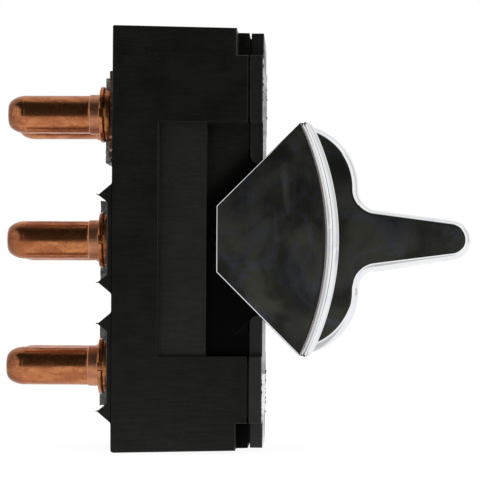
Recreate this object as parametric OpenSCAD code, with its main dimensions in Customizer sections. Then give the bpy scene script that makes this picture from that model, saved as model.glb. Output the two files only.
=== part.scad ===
// Plug-in lever rocker switch: a moulded case with six bullet terminals at the back and a chromed
// lever at the front that springs back to its middle position.
//
// Frame: origin at the centre of the case's back face, +X out of the front towards the lever's tip,
// +Z along the tall side of the case, Y across its width. Millimetres.

/* [Case] */
// Width of the case, side to side
case_w = 21; // [20.6:0.1:22]
// Height of the case at its back face
case_h = 42.12; // [41.4:0.02:43]
// Depth of the case, back face to the seam with the front plate
case_d = 13.4; // [13.2:0.1:13.6]
// Draft of the top and bottom faces, degrees
case_draft = 1.3; // [0.5:0.1:1.8]
// Thickness of the case's back wall
back_wall = 1.6; // [1.4:0.1:1.8]

/* [Front plate] */
// Thickness of the front plate
plate_t = 1.25; // [1:0.05:1.5]
// Thickness of the gasket between the case and the plate
gasket_t = 0.19; // [0.1:0.01:0.3]

/* [Lever] */
// Distance of the pivot pin in front of the back face
pivot_x = 12.6; // [12.4:0.1:12.8]
// Travel of the lever each way, degrees
lever_travel = 14; // [10:1:14]
// Reach of the paddle's tip in front of the back face
tip_x = 35.33; // [34:0.1:37]
// Height of the lever's rim, end to end
rim_h = 23.1; // [22.6:0.1:23.4]
// Thickness of each cheek of the lever
cheek_t = 1.05; // [0.9:0.05:1.1]

/* [Terminals] */
// Spacing of the three terminal rows
row_pitch = 12.7; // [12.6:0.05:12.8]
// Spacing of the two terminal columns
column_pitch = 8.2; // [7.6:0.1:9.6]
// Radius of a terminal's barrel
barrel_r = 1.92; // [1.85:0.01:1.98]
// Length of a terminal behind the back face
terminal_len = 11; // [10:0.05:12]

/* [Hidden] */

$fn = 64;
eps = 0.01; // overshoot of a cut past a face
fit = 0.05; // radial clearance of a running fit
overlap = 0.3; // how far two shapes of one solid run into each other

half_w = case_w / 2;
half_h = case_h / 2;
half_h_seam = half_h - case_d * tan(case_draft);
seam_x = case_d + gasket_t;
front_x = seam_x + plate_t;
half_h_front = half_h - front_x * tan(case_draft);

// Side recesses that the lever's cheeks swing in: a shallow step, then a deep one
recess_half_h = 11.55;
shallow_x = 4.6;
shallow_d = 0.8;
deep_x = 9.3;
deep_y = 8.6;

// Corner notches that a panel's spring clips catch
notch_x = 12.26;
notch_z = 18.1;
notch_y = 6.3;

// Hollow of the case: a lower chamber for the carriage, a wider one in front of the guide plate
ledge_x = 7.3;
low_y = 7;
low_z = 16.5;
high_y = 7.4;
high_z = 16.9;

// Ears of the case that carry the pivot pin
ear_flare_r = 1.1;
ear_x = case_d + ear_flare_r;
ear_half_h = 7.4;
ear_gap = 0.1;
pin_room = 0.08;

// Opening in the front plate for the lever's neck
slot_y = 5.2;
slot_z = 7.6;
gasket_end_z = 9;
gasket_inset = 0.5;

screw_y = 3.6;
screw_z = 18.75;
screw_r = 0.8;
screw_len = 7;
screw_head_r = 1.6;
screw_clear = 0.1;
sink_depth = 0.9;
head_gap = 0.06; // a head's top below the plate's face
slot_depth = 0.39;
slot_half = 0.22;

guide_t = 1;
guide_slot_y = 2;
guide_slot_z = 3.3;

pin_r = 1.25;
pin_y = 8.5;
bush_r = 1.7;
bush_inner_y = 0.5;
bush_end_gap = 0.15;

// Ribs beside the middle and bottom terminals
rib_apex = 4.3;
rib_base = 5.45;
rib_foot = 3.55;
rib_h = 1.35;
pad_h = 0.42;
rib_y = 10.4;
pad_lip = 0.2;

shank_r = 1.2;
head_r = 1.85;
head_t = 0.8;
head_taper = 0.35;
flange_r = 2.83;
flange_back = 1.21;
flange_front = 1.69;
flange_edge = 0.12;
collar_r = 2.02;
collar_x = 2.75;
collar_taper = 0.03;
collar_step = 0.08;
nose_len = 1.65;
nose_r = 0.95;
flange_notch = 0.9;
notch_root = 0.1; // the notches stop this far outside the collar
strip_t = 0.65;
washer_back = strip_t;
washer_inset = 0.25;
bus_lap = 2; // past the terminals' axes
bus_y = column_pitch / 2 + bus_lap;
strip_h = 8.8;
strip_z = 12.6;
strip_y = 8.2;
barrier_x = 1.95;
barrier_gap = 0.2;
barrier_y = column_pitch / 2 - flange_r - barrier_gap;
barrier_z = 4.15;
barrier_foot = 1.25;
cover_lap = 0.15; // past the terminals' axes
cover_y = column_pitch / 2 + cover_lap;
cover_low = 7.75;
cover_high = 16.5;
cover_hole_gap = 0.2;

carriage_y = 6.8;
carriage_z = 10.4;
carriage_back = 3.4;
carriage_front = 7.1;
lip_back = 2.62;
bridge_z = 9.7;
bridge_w = 3.2;
bridge_back = 2.45;
bridge_t = 0.6;
contact_spring_z = 5.5;
contact_spring_r = 1.2;
pocket_r = 1.4;
pocket_top = 6.4;
spring_gap = 0.15;
bridge_gap = 0.06;
ball_slot_y = 1.75;
ball_gap = 0.1;
mouth_x = 6;
mouth_z = 2.3;

tail_x = 4.6;
tail_y = 1.5;
tail_root = 1.8;
tail_end = 0.75;
ball_r = 1.3;

cup_t = 0.8;
return_r = 1.45;
return_x = 5.25;
return_seat = 8.9;
contact_wire = 0.3;
contact_turns = 5;
return_wire = 0.36;
return_turns = 6;
cup_rim = 0.3;
spigot_len = 0.9;
spigot_gap = 0.5;

// Lever outline, from circles that touch: hump, fillet and tip
rim_r_out = 25.7;
rim_r_in = 27;
rim_apex = 22.32;
rim_t = 1.13;
hump_r = 6.3;
hump_x = 18;
hump_z = 5.1;
fillet_r = 2;
fillet_x = 26.3;
fillet_z = 4.92;
tip_r = 1.98;
tip_cx = tip_x - tip_r;
nose_slope = atan2(fillet_z, tip_cx - fillet_x)
    - asin((fillet_r + tip_r) / norm([tip_cx - fillet_x, fillet_z]));
cheek_x = 10.29;
cheek_half_h = 3.27;
cheek_in = 8.95;
cheek_out = cheek_in + cheek_t;
paddle_y = cheek_out;
rim_half_h = rim_h / 2;
cap_wall = 1.5;
underside_gap = 0.2;
head_z = 10.4;
neck_y = slot_y - 0.4;
neck_z = 3.1;
neck_top_x = front_x + 1.2;
neck_top_z = 3.6;
corner_z = rim_half_h - 0.1;

function arc(cx, cz, r, a0, a1, n) =
    [for (k = [0:n]) [cx + r * cos(a0 + (a1 - a0) * k / n), cz + r * sin(a0 + (a1 - a0) * k / n)]];

function flip(points) = [for (k = [len(points) - 1:-1:0]) [points[k][0], -points[k][1]]];

// Upper half of the paddle's outline, drawn in by an even margin
function paddle_half(inset) = concat(
    arc(hump_x, hump_z, hump_r - inset, 80, 0, 16),
    arc(fillet_x, fillet_z, fillet_r + inset, 180, 270 - nose_slope, 10),
    arc(tip_cx, 0, tip_r - inset, 90 - nose_slope, 0, 12));

// An XZ outline made solid between two Y values
module along_y(y0, y1) {
    translate([0, y1, 0])
        rotate([90, 0, 0])
            linear_extrude(height = y1 - y0)
                children();
}

// A YZ outline made solid between two X values
module along_x(x0, x1) {
    translate([x0, 0, 0])
        rotate([90, 0, 90])
            linear_extrude(height = x1 - x0)
                children();
}

module box(x0, x1, y0, y1, z0, z1) {
    translate([x0, y0, z0])
        cube([x1 - x0, y1 - y0, z1 - z0]);
}

module rod_x(x0, x1, r) {
    translate([x0, 0, 0])
        rotate([0, 90, 0])
            cylinder(h = x1 - x0, r = r);
}

module rod_y(y0, y1, r) {
    translate([0, y0, 0])
        rotate([-90, 0, 0])
            cylinder(h = y1 - y0, r = r);
}

module at_terminals(rows = [-1, 0, 1]) {
    for (row = rows)
        for (side = [-1, 1])
            translate([0, side * column_pitch / 2, row * row_pitch])
                children();
}

module at_screws() {
    for (end = [-1, 1])
        for (side = [-1, 1])
            translate([0, side * screw_y, end * screw_z])
                children();
}

// ---- fixed parts ----

// Ear with a flared foot, grown by a gap
module ear_outline(gap) {
    foot = arc(case_d + ear_flare_r, ear_half_h + ear_flare_r, ear_flare_r - gap, 180, 270, 6);
    polygon(concat(
        [[notch_x, ear_half_h + ear_flare_r]],
        foot,
        [[ear_x + gap, ear_half_h + gap], [ear_x + gap, -ear_half_h - gap]],
        flip(foot),
        [[notch_x, -ear_half_h - ear_flare_r]]));
}

module rib_outline(dir) {
    polygon([[eps, dir * rib_base], [-rib_h, dir * rib_apex], [-pad_h, dir * rib_foot],
        [eps, dir * rib_foot]]);
}

module case() {
    color([0.09, 0.09, 0.085])
        difference() {
            union() {
                difference() {
                    along_y(-half_w, half_w)
                        polygon([[0, -half_h], [0, half_h], [case_d, half_h_seam],
                            [case_d, -half_h_seam]]);
                    box(back_wall, ledge_x + eps, -low_y, low_y, -low_z, low_z);
                    box(ledge_x, case_d + 1, -high_y, high_y, -high_z, high_z);
                    for (side = [-1, 1]) {
                        mirror([0, side < 0 ? 1 : 0, 0]) {
                            box(shallow_x, case_d + 1, half_w - shallow_d, half_w + 1,
                                -recess_half_h, recess_half_h);
                            box(deep_x, case_d + 1, deep_y, half_w + 1,
                                -recess_half_h, recess_half_h);
                            for (end = [0, 1])
                                mirror([0, 0, end])
                                    box(notch_x, case_d + 1, notch_y, half_w + 1,
                                        notch_z, half_h + 1);
                        }
                    }
                }
                for (side = [0, 1])
                    mirror([0, side, 0])
                        along_y(high_y, deep_y)
                            ear_outline(0);
                for (row = [-1, 0])
                    translate([0, 0, row * row_pitch]) {
                        pad();
                        for (dir = [-1, 1])
                            along_y(-rib_y, rib_y)
                                rib_outline(dir);
                    }
            }
            at_terminals()
                rod_x(-2, back_wall + 1, shank_r);
            translate([pivot_x, 0, 0])
                rod_y(-half_w, half_w, pin_r);
            at_screws()
                rod_x(case_d - screw_len + plate_t, case_d + 1, screw_r);
        }
}

// Low pad under the insulator of the middle and bottom rows
module pad() {
    box(-pad_h, eps, -rib_y, rib_y, -rib_foot - pad_lip, rib_foot + pad_lip);
}

module plate_outline(inset, half_z) {
    difference() {
        square([2 * (half_w - inset), 2 * (half_z - inset)], center = true);
        for (side = [0, 1])
            mirror([side, 0, 0]) {
                translate([deep_y - inset, -recess_half_h - inset])
                    square([half_w, 2 * (recess_half_h + inset)]);
                for (end = [0, 1])
                    mirror([0, end, 0])
                        translate([notch_y - inset, notch_z - inset])
                            square([half_w, half_h]);
            }
        square([2 * (slot_y + inset), 2 * (slot_z + inset)], center = true);
        at_screws_flat()
            circle(r = screw_r + screw_clear);
    }
}

module at_screws_flat() {
    for (end = [-1, 1])
        for (side = [-1, 1])
            translate([side * screw_y, end * screw_z])
                children();
}

// Room around the ears and behind the plate for the pin and its bushes
module ear_and_pin_room() {
    for (side = [0, 1])
        mirror([0, side, 0]) {
            along_y(high_y - ear_gap, half_w)
                ear_outline(ear_gap);
            box(case_d, front_x + 1, high_y - ear_gap, half_w,
                -ear_half_h - ear_gap, ear_half_h + ear_gap);
        }
    translate([pivot_x, 0, 0])
        rod_y(-half_w, half_w, bush_r + pin_room);
}

module front_plate() {
    color([0.1, 0.1, 0.09])
        difference() {
            along_x(seam_x, front_x)
                plate_outline(0, half_h_front);
            ear_and_pin_room();
            at_screws()
                translate([front_x - sink_depth, 0, 0])
                    rotate([0, 90, 0])
                        cylinder(h = sink_depth + eps, r1 = screw_r + screw_clear,
                            r2 = screw_head_r);
        }
}

module gasket(end) {
    color([0.05, 0.05, 0.05])
        along_x(case_d, seam_x)
            mirror([0, end < 0 ? 1 : 0])
                difference() {
                    plate_outline(gasket_inset, half_h_front);
                    translate([-half_w, -half_h])
                        square([case_w, half_h + gasket_end_z]);
                }
}

module plate_screws() {
    color([0.75, 0.75, 0.74])
        at_screws()
            difference() {
                union() {
                    rod_x(front_x - screw_len, front_x - sink_depth / 2, screw_r);
                    translate([front_x - sink_depth + head_gap / 2, 0, 0])
                        rotate([0, 90, 0])
                            cylinder(h = sink_depth - 1.5 * head_gap, r1 = screw_r,
                                r2 = screw_head_r - screw_clear);
                }
                box(front_x - head_gap - slot_depth, front_x + 1, -slot_half, slot_half,
                    -screw_head_r, screw_head_r);
            }
}

module guide_plate() {
    color([0.55, 0.4, 0.25])
        along_x(ledge_x, ledge_x + guide_t)
            difference() {
                square([2 * (high_y - fit), 2 * (high_z - fit)], center = true);
                square([2 * guide_slot_y, 2 * guide_slot_z], center = true);
            }
}

module pivot_pin() {
    color([0.7, 0.7, 0.7])
        translate([pivot_x, 0, 0])
            rod_y(-pin_y, pin_y, pin_r);
}

// ---- lever ----

module pivot_bush(side) {
    color([0.8, 0.65, 0.35])
        mirror([0, side < 0 ? 1 : 0, 0])
            translate([pivot_x, 0, 0])
                difference() {
                    rod_y(bush_inner_y, high_y - bush_end_gap, bush_r);
                    rod_y(0, high_y, pin_r + fit);
                }
}

module rim_outline() {
    out_x = rim_apex - rim_r_out;
    in_x = rim_apex - rim_t - rim_r_in;
    a_out = asin(rim_half_h / rim_r_out);
    a_in = asin(rim_half_h / rim_r_in);
    polygon(concat(
        arc(out_x, 0, rim_r_out, a_out, -a_out, 32),
        arc(in_x, 0, rim_r_in, -a_in, a_in, 32)));
}

module cheek_outline() {
    in_x = rim_apex - rim_t - rim_r_in;
    a_in = asin(corner_z / rim_r_in);
    polygon(concat(
        [[cheek_x, cheek_half_h], [cheek_x, -cheek_half_h],
            [cheek_x + corner_z - cheek_half_h, -corner_z]],
        arc(in_x, 0, rim_r_in + overlap, -a_in, a_in, 32),
        [[cheek_x + corner_z - cheek_half_h, corner_z]]));
}

module paddle_outline(inset) {
    half = paddle_half(inset);
    foot_x = rim_apex - rim_r_out;
    foot_a = asin((rim_half_h - 2 * overlap - inset) / rim_r_out);
    polygon(concat(
        half,
        flip(half),
        arc(foot_x, 0, rim_r_out - overlap - inset, -foot_a, foot_a, 24)));
}

module lever_cap() {
    color([0.9, 0.9, 0.92])
        union() {
            for (side = [0, 1])
                mirror([0, side, 0])
                    along_y(cheek_in, cheek_out)
                        cheek_outline();
            difference() {
                union() {
                    along_y(-half_w, half_w)
                        rim_outline();
                    along_y(-paddle_y, paddle_y)
                        paddle_outline(0);
                }
                along_y(-paddle_y + cap_wall, paddle_y - cap_wall)
                    paddle_outline(cap_wall);
            }
        }
}

// Underside of the lever's core: two flats at the travel angle that stop against the front plate
module core_head_outline() {
    top_x = rim_apex - rim_t - rim_r_in;
    top_a = asin(head_z / rim_r_in);
    low_x = front_x + underside_gap;
    low = pivot_x + (low_x - pivot_x) / cos(lever_travel);
    polygon(concat(
        [[low + head_z * tan(lever_travel), head_z], [low, 0],
            [low + head_z * tan(lever_travel), -head_z]],
        arc(top_x, 0, rim_r_in, -top_a, top_a, 24)));
}

module lever_core() {
    color([0.12, 0.12, 0.12])
        difference() {
            union() {
                along_y(-cheek_in, cheek_in)
                    core_head_outline();
                along_y(-neck_y, neck_y)
                    polygon([[pivot_x, -neck_z], [pivot_x, neck_z], [neck_top_x, neck_top_z],
                        [neck_top_x, -neck_top_z]]);
                translate([pivot_x, 0, 0])
                    rod_y(-neck_y, neck_y, neck_z);
                along_y(-tail_y, tail_y)
                    polygon([[pivot_x, -tail_root], [tail_x, -tail_end], [tail_x, tail_end],
                        [pivot_x, tail_root]]);
                translate([tail_x, 0, 0])
                    sphere(r = ball_r);
            }
            translate([pivot_x, 0, 0])
                rod_y(-half_w, half_w, bush_r);
        }
}

// ---- sliding contacts ----

module carriage() {
    color([0.85, 0.83, 0.76])
        difference() {
            union() {
                box(carriage_back, carriage_front, -carriage_y, carriage_y,
                    -carriage_z, carriage_z);
                for (end = [0, 1])
                    mirror([0, 0, end])
                        box(lip_back, carriage_back + eps, -carriage_y, carriage_y,
                            bridge_z + bridge_gap, carriage_z);
            }
            // slot for the lever's ball, with a wider mouth for its tail
            box(0, carriage_front + 1, -ball_slot_y, ball_slot_y, -ball_r - ball_gap,
                ball_r + ball_gap);
            box(mouth_x, carriage_front + 1, -ball_slot_y, ball_slot_y, -mouth_z, mouth_z);
            for (side = [-1, 1])
                for (end = [-1, 1])
                    translate([0, side * column_pitch / 2, end * contact_spring_z])
                        rod_x(0, pocket_top, pocket_r);
            for (end = [0, 1])
                mirror([0, 0, end])
                    translate([return_x, 0, return_seat])
                        cylinder(h = carriage_z, r = return_r + spring_gap);
        }
}

module contact_bridge(side) {
    color([0.8, 0.45, 0.3])
        translate([0, side * column_pitch / 2, 0])
            box(bridge_back, bridge_back + bridge_t, -bridge_w / 2, bridge_w / 2,
                -bridge_z, bridge_z);
}

// A round wire wound on a helix about +Z, with flat coils at both ends
module coil(r, wire, length, turns) {
    sides = 6;
    steps = 14;
    last = turns * steps;
    lift = length - wire;
    function height(t) = wire / 2 + lift * (t < 1 ? 0.06 * t : t > turns - 1
        ? 1 - 0.06 * (turns - t)
        : 0.06 + 0.88 * (t - 1) / (turns - 2));
    rings = [for (k = [0:last]) for (s = [0:sides - 1])
        let (a = 360 * k / steps, b = 360 * s / sides)
            [(r + wire / 2 * cos(b)) * cos(a), (r + wire / 2 * cos(b)) * sin(a),
                height(k / steps) + wire / 2 * sin(b)]];
    skin = [for (k = [0:last - 1]) for (s = [0:sides - 1])
        let (n = (s + 1) % sides)
            [k * sides + s, k * sides + n, (k + 1) * sides + n, (k + 1) * sides + s]];
    first = [for (s = [sides - 1:-1:0]) s];
    end = [for (s = [0:sides - 1]) last * sides + s];
    polyhedron(points = rings, faces = concat(skin, [first, end]));
}

module contact_spring(side, end) {
    base = bridge_back + bridge_t;
    color([0.75, 0.75, 0.75])
        translate([base, side * column_pitch / 2, end * contact_spring_z])
            rotate([0, 90, 0])
                coil(contact_spring_r - contact_wire / 2, contact_wire, pocket_top - base,
                    contact_turns);
}

module return_spring(end) {
    far = low_z - cup_t;
    color([0.75, 0.75, 0.75])
        mirror([0, 0, end < 0 ? 1 : 0])
            translate([return_x, 0, return_seat])
                coil(return_r - return_wire / 2, return_wire, far - return_seat, return_turns);
}

module spring_cup(end) {
    color([0.8, 0.65, 0.35])
        mirror([0, 0, end < 0 ? 1 : 0])
            translate([return_x, 0, low_z - cup_t])
                union() {
                    cylinder(h = cup_t, r = return_r + cup_rim);
                    translate([0, 0, -spigot_len])
                        cylinder(h = spigot_len + overlap, r = return_r - spigot_gap);
                }
}

// ---- terminals ----

module terminal(side, row) {
    color([0.78, 0.48, 0.32])
        translate([0, side * column_pitch / 2, row * row_pitch])
            difference() {
                rotate([0, -90, 0])
                    rotate_extrude()
                        polygon(concat(
                            [[0, -back_wall - head_t], [head_r - head_taper, -back_wall - head_t],
                                [head_r, -back_wall], [shank_r, -back_wall],
                                [shank_r, flange_back], [flange_r - flange_edge, flange_back],
                                [flange_r, flange_back + flange_edge],
                                [flange_r, flange_front - flange_edge],
                                [flange_r - flange_edge, flange_front], [collar_r, flange_front],
                                [collar_r - collar_taper, collar_x],
                                [barrel_r, collar_x + collar_step]],
                            [for (a = [0:15:90])
                                [nose_r + (barrel_r - nose_r) * cos(a),
                                    terminal_len - nose_len + nose_len * sin(a)]],
                            [[0, terminal_len]]));
                for (out = [0, 1])
                    mirror([0, out, 0])
                        box(-flange_front - eps, -flange_back + eps, collar_r + notch_root,
                            flange_r + 1, -flange_notch / 2, flange_notch / 2);
            }
}

module terminal_washers() {
    color([0.6, 0.33, 0.2])
        at_terminals()
            difference() {
                rod_x(-flange_back, -washer_back, flange_r - washer_inset);
                rod_x(-flange_back - 1, 0, shank_r);
            }
}

module bus_strip() {
    color([0.8, 0.5, 0.38])
        difference() {
            box(-strip_t, 0, -bus_y, bus_y, strip_z - strip_h / 2, strip_z + strip_h / 2);
            at_terminals([1])
                rod_x(-strip_t - 1, 1, shank_r);
        }
}

module insulator_top() {
    color([0.3, 0.35, 0.32])
        difference() {
            box(-flange_back, -strip_t, -cover_y, cover_y, cover_low, cover_high);
            at_terminals([1])
                rod_x(-flange_back - 1, 0, flange_r - cover_hole_gap);
        }
}

// A sheet under both washers of a row, with a barrier standing between the two terminals
module insulator(row) {
    color([0.55, 0.56, 0.55])
        difference() {
            translate([0, 0, row * row_pitch])
                union() {
                    box(-washer_back, -pad_h, -strip_y, strip_y, -rib_foot, rib_foot);
                    box(-barrier_x, -pad_h, -barrier_y, barrier_y, -rib_foot, rib_foot);
                    box(-barrier_x, -barrier_foot, -barrier_y, barrier_y, -barrier_z, barrier_z);
                }
            at_terminals([row])
                rod_x(-flange_front - 1, 0, shank_r);
        }
}

case();
front_plate();
gasket(1);  // gasket_upper
gasket(-1);  // gasket_lower
plate_screws();
guide_plate();
pivot_pin();
pivot_bush(-1);  // pivot_bush_left
pivot_bush(1);  // pivot_bush_right
lever_cap();
lever_core();
carriage();
contact_bridge(-1);  // contact_bridge_left
contact_bridge(1);  // contact_bridge_right
contact_spring(-1, 1);  // contact_spring_left_upper
contact_spring(-1, -1);  // contact_spring_left_lower
contact_spring(1, 1);  // contact_spring_right_upper
contact_spring(1, -1);  // contact_spring_right_lower
return_spring(1);  // return_spring_upper
return_spring(-1);  // return_spring_lower
spring_cup(1);  // spring_cup_upper
spring_cup(-1);  // spring_cup_lower
terminal(-1, 1);  // terminal_top_left
terminal(1, 1);  // terminal_top_right
terminal(-1, 0);  // terminal_middle_left
terminal(1, 0);  // terminal_middle_right
terminal(-1, -1);  // terminal_bottom_left
terminal(1, -1);  // terminal_bottom_right
terminal_washers();
bus_strip();
insulator_top();
insulator(0);  // insulator_middle
insulator(-1);  // insulator_bottom
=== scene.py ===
import math

import bmesh
import bpy
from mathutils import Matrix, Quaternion, Vector, noise


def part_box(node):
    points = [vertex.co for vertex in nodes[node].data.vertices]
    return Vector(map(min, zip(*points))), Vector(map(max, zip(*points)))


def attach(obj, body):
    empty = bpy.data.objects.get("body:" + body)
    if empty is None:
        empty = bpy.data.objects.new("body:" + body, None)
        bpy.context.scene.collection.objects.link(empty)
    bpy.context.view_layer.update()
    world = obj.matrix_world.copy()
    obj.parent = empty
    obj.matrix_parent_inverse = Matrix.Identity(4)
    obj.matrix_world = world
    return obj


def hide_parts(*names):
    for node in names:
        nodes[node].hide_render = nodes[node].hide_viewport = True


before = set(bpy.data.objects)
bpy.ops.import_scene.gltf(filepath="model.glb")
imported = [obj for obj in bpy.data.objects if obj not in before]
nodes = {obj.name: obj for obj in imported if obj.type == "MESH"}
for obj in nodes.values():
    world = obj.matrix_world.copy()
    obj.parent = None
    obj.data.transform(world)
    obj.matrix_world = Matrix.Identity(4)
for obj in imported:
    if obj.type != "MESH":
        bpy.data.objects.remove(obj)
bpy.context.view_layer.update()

MM = 0.001


# ---------------------------------------------------------------- materials

class Paint:
    """A Principled material and short ways to add the nodes that feed it."""

    def __init__(self, name, **values):
        self.material = bpy.data.materials.new(name)
        self.material.use_nodes = True
        self.tree = self.material.node_tree
        self.shader = self.tree.nodes["Principled BSDF"]
        self.place = self.add("ShaderNodeTexCoord").outputs["Object"]
        for socket, value in values.items():
            self.shader.inputs[socket.replace("_", " ")].default_value = value

    def add(self, kind, inputs=None, **settings):
        node = self.tree.nodes.new(kind)
        for key, value in settings.items():
            setattr(node, key, value)
        for key, value in (inputs or {}).items():
            self.feed(node.inputs[key], value)
        return node

    def feed(self, socket, value):
        if isinstance(value, bpy.types.NodeSocket):
            self.tree.links.new(value, socket)
        else:
            socket.default_value = value

    def set(self, name, value):
        self.feed(self.shader.inputs[name], value)

    def stretched(self, x=1.0, y=1.0, z=1.0):
        """The place on the object, with features drawn out along an axis by that factor."""
        node = self.add("ShaderNodeMapping", {"Vector": self.place, "Scale": (1 / x, 1 / y, 1 / z)})
        return node.outputs["Vector"]

    def noise(self, size, detail=3.0, roughness=0.5, distortion=0.0, place=None):
        """Cloudy noise with features of about size millimetres."""
        node = self.add("ShaderNodeTexNoise", {"Vector": place or self.place, "Scale": 1 / (size * MM),
                                               "Detail": detail, "Roughness": roughness,
                                               "Distortion": distortion})
        return node.outputs["Fac"]

    def cells(self, size, place=None):
        """The distance from the middle of the nearest cell, with cells of about size millimetres."""
        node = self.add("ShaderNodeTexVoronoi", {"Vector": place or self.place, "Scale": 1 / (size * MM)})
        return node.outputs["Distance"]

    def axis(self, name):
        node = self.add("ShaderNodeSeparateXYZ", {"Vector": self.place})
        return node.outputs[name]

    def math(self, operation, a, b=0.0):
        node = self.add("ShaderNodeMath", {0: a, 1: b}, operation=operation)
        return node.outputs[0]

    def span(self, value, low, high, to_low=0.0, to_high=1.0):
        """A value from low..high, smoothly and held inside to_low..to_high."""
        node = self.add("ShaderNodeMapRange", {"Value": value, "From Min": low, "From Max": high,
                                               "To Min": to_low, "To Max": to_high},
                        interpolation_type="SMOOTHSTEP")
        return node.outputs["Result"]

    def ramp(self, place, start, end, to_low=0.0, to_high=1.0):
        """The same for a place, with start and end in millimetres."""
        return self.span(place, start * MM, end * MM, to_low, to_high)

    def band(self, place, rise, fall):
        """One between two soft edges and none outside. Each edge is a pair of places in millimetres."""
        return self.math("MULTIPLY", self.ramp(place, *rise), self.ramp(place, fall[1], fall[0]))

    def between(self, factor, a, b):
        """A number that is a where factor is 0 and b where it is 1."""
        return self.add("ShaderNodeMix", {0: factor, 2: a, 3: b}, data_type="FLOAT").outputs[0]

    def mix(self, factor, a, b):
        node = self.add("ShaderNodeMix", data_type="RGBA")
        self.feed(node.inputs[0], factor)
        for socket, value in ((node.inputs[6], a), (node.inputs[7], b)):
            self.feed(socket, (*value, 1.0) if isinstance(value, tuple) else value)
        return node.outputs[2]

    def bump(self, height, depth, normal=None):
        """A bump of depth millimetres where height goes from 0 to 1."""
        node = self.add("ShaderNodeBump", {"Height": height, "Strength": 1.0, "Distance": depth * MM})
        if normal is not None:
            self.feed(node.inputs["Normal"], normal)
        return node.outputs["Normal"]


def moulded_black(name, dark, light, rough, grain=0.004):
    """Black glass-filled plastic: fine grain, specks, faint flow lines and slow changes of gloss."""
    paint = Paint(name, IOR=1.5, Specular_IOR_Level=0.34)
    grain_fine = paint.noise(0.09, 3)
    flow = paint.noise(0.5, 4, distortion=0.6, place=paint.stretched(z=7, y=3))
    cloud = paint.noise(3.5, 4, 0.6)
    tone = paint.span(paint.math("ADD", paint.math("MULTIPLY", cloud, 0.5),
                                 paint.math("MULTIPLY", paint.noise(0.14, 2), 0.5)), 0.38, 0.62)
    colour = paint.mix(tone, dark, light)
    shine = paint.math("ADD", paint.math("MULTIPLY", cloud, 0.35), paint.math("MULTIPLY", grain_fine, 0.65))
    paint.set("Roughness", paint.span(shine, 0.3, 0.7, rough - 0.04, rough + 0.05))
    scratches = paint.span(paint.noise(0.10, 3, 0.6, place=paint.stretched(x=26)), 0.60, 0.74)
    skin = paint.bump(grain_fine, grain)
    skin = paint.bump(flow, grain * 1.5, skin)
    paint.set("Normal", paint.bump(scratches, grain * 0.5, skin))
    paint.set("Base Color", colour)
    return paint, colour


def case_plastic():
    """The case's plastic: drawn along X by its mould, paler low down as painted light from the floor, paler
    on the shallow recess floors, and darkened in the deep recess as the lever's painted shade.
    """
    paint, colour = moulded_black("case_plastic", CASE_DARK, CASE_LIGHT, 0.34, 0.010)
    depth, height, along = paint.math("ABSOLUTE", paint.axis("Y")), paint.axis("Z"), paint.axis("X")
    low = paint.ramp(height, 19, -19)
    shallow = paint.band(depth, (SHALLOW_Y - 0.02, SHALLOW_Y + 0.02), (SHALLOW_Y + 0.25, SHALLOW_Y + 0.4))
    # painted light: paler low down, where the floor lights the case; also paler on the shallow recess floors
    for where, share, factor in ((low, 0.10, 1.5), (shallow, 0.7, 2.0)):
        second_tone = tuple(factor * c for c in CASE_LIGHT)
        colour = paint.mix(paint.math("MULTIPLY", where, share), colour, second_tone)
    # painted shade: the deep recess is darkest under the lever's cheek and below it, where the lever shades
    # it
    deep = paint.math("MULTIPLY", paint.ramp(depth, DEEP_Y + 0.1, DEEP_Y - 0.1),
                      paint.ramp(along, RECESS_BACK - 0.1, RECESS_BACK + 0.1))
    off_cheek = paint.math("ADD", paint.math("SUBTRACT", height, along), (CHEEK_LEFT - CHEEK_FLAT) * MM)
    lever_shade = paint.math("MAXIMUM", paint.ramp(off_cheek, 4.2, 0.8), paint.ramp(height, 4.0, 0.5, 0, 0.62))
    lever_shade = paint.math("MULTIPLY", lever_shade, deep)
    paint.set("Base Color", paint.mix(lever_shade, colour, (0.0008, 0.0008, 0.0007)))
    drawn = paint.span(paint.noise(0.20, 4, 0.65, place=paint.stretched(x=11)), 0.36, 0.64, 0.87, 1.14)
    fine = paint.span(paint.noise(0.13, 2), 0.35, 0.65, 0.90, 1.10)
    shine = paint.math("MULTIPLY", paint.span(shallow, 0, 1, 0.28, 0.44),
                       paint.ramp(height, 16, -10, 1.18, 0.80))
    shine = paint.between(lever_shade, shine, 0.06)
    paint.set("Specular IOR Level", paint.math("MULTIPLY", shine, paint.math("MULTIPLY", drawn, fine)))
    return paint.material


def plate_plastic():
    """The front plate's board. Its outer face is smooth, so it mirrors the light at a low angle."""
    paint, _ = moulded_black("plate_board", (0.0036, 0.0038, 0.0026), (0.0080, 0.0082, 0.0060), 0.33, 0.008)
    paint.set("Specular IOR Level", 0.5)
    behind = paint.ramp(paint.axis("X"), PLATE_FRONT - 0.01, PLATE_FRONT - 0.03)
    scuffs = paint.span(paint.noise(0.5, 4, 0.7, place=paint.stretched(y=6)), 0.56, 0.66, 0.06, 0.38)
    paint.set("Roughness", paint.between(behind, scuffs, 0.35))
    grain = paint.math("MULTIPLY", paint.noise(0.09, 3), behind)
    paint.set("Normal", paint.bump(grain, 0.008))
    return paint.material


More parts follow.
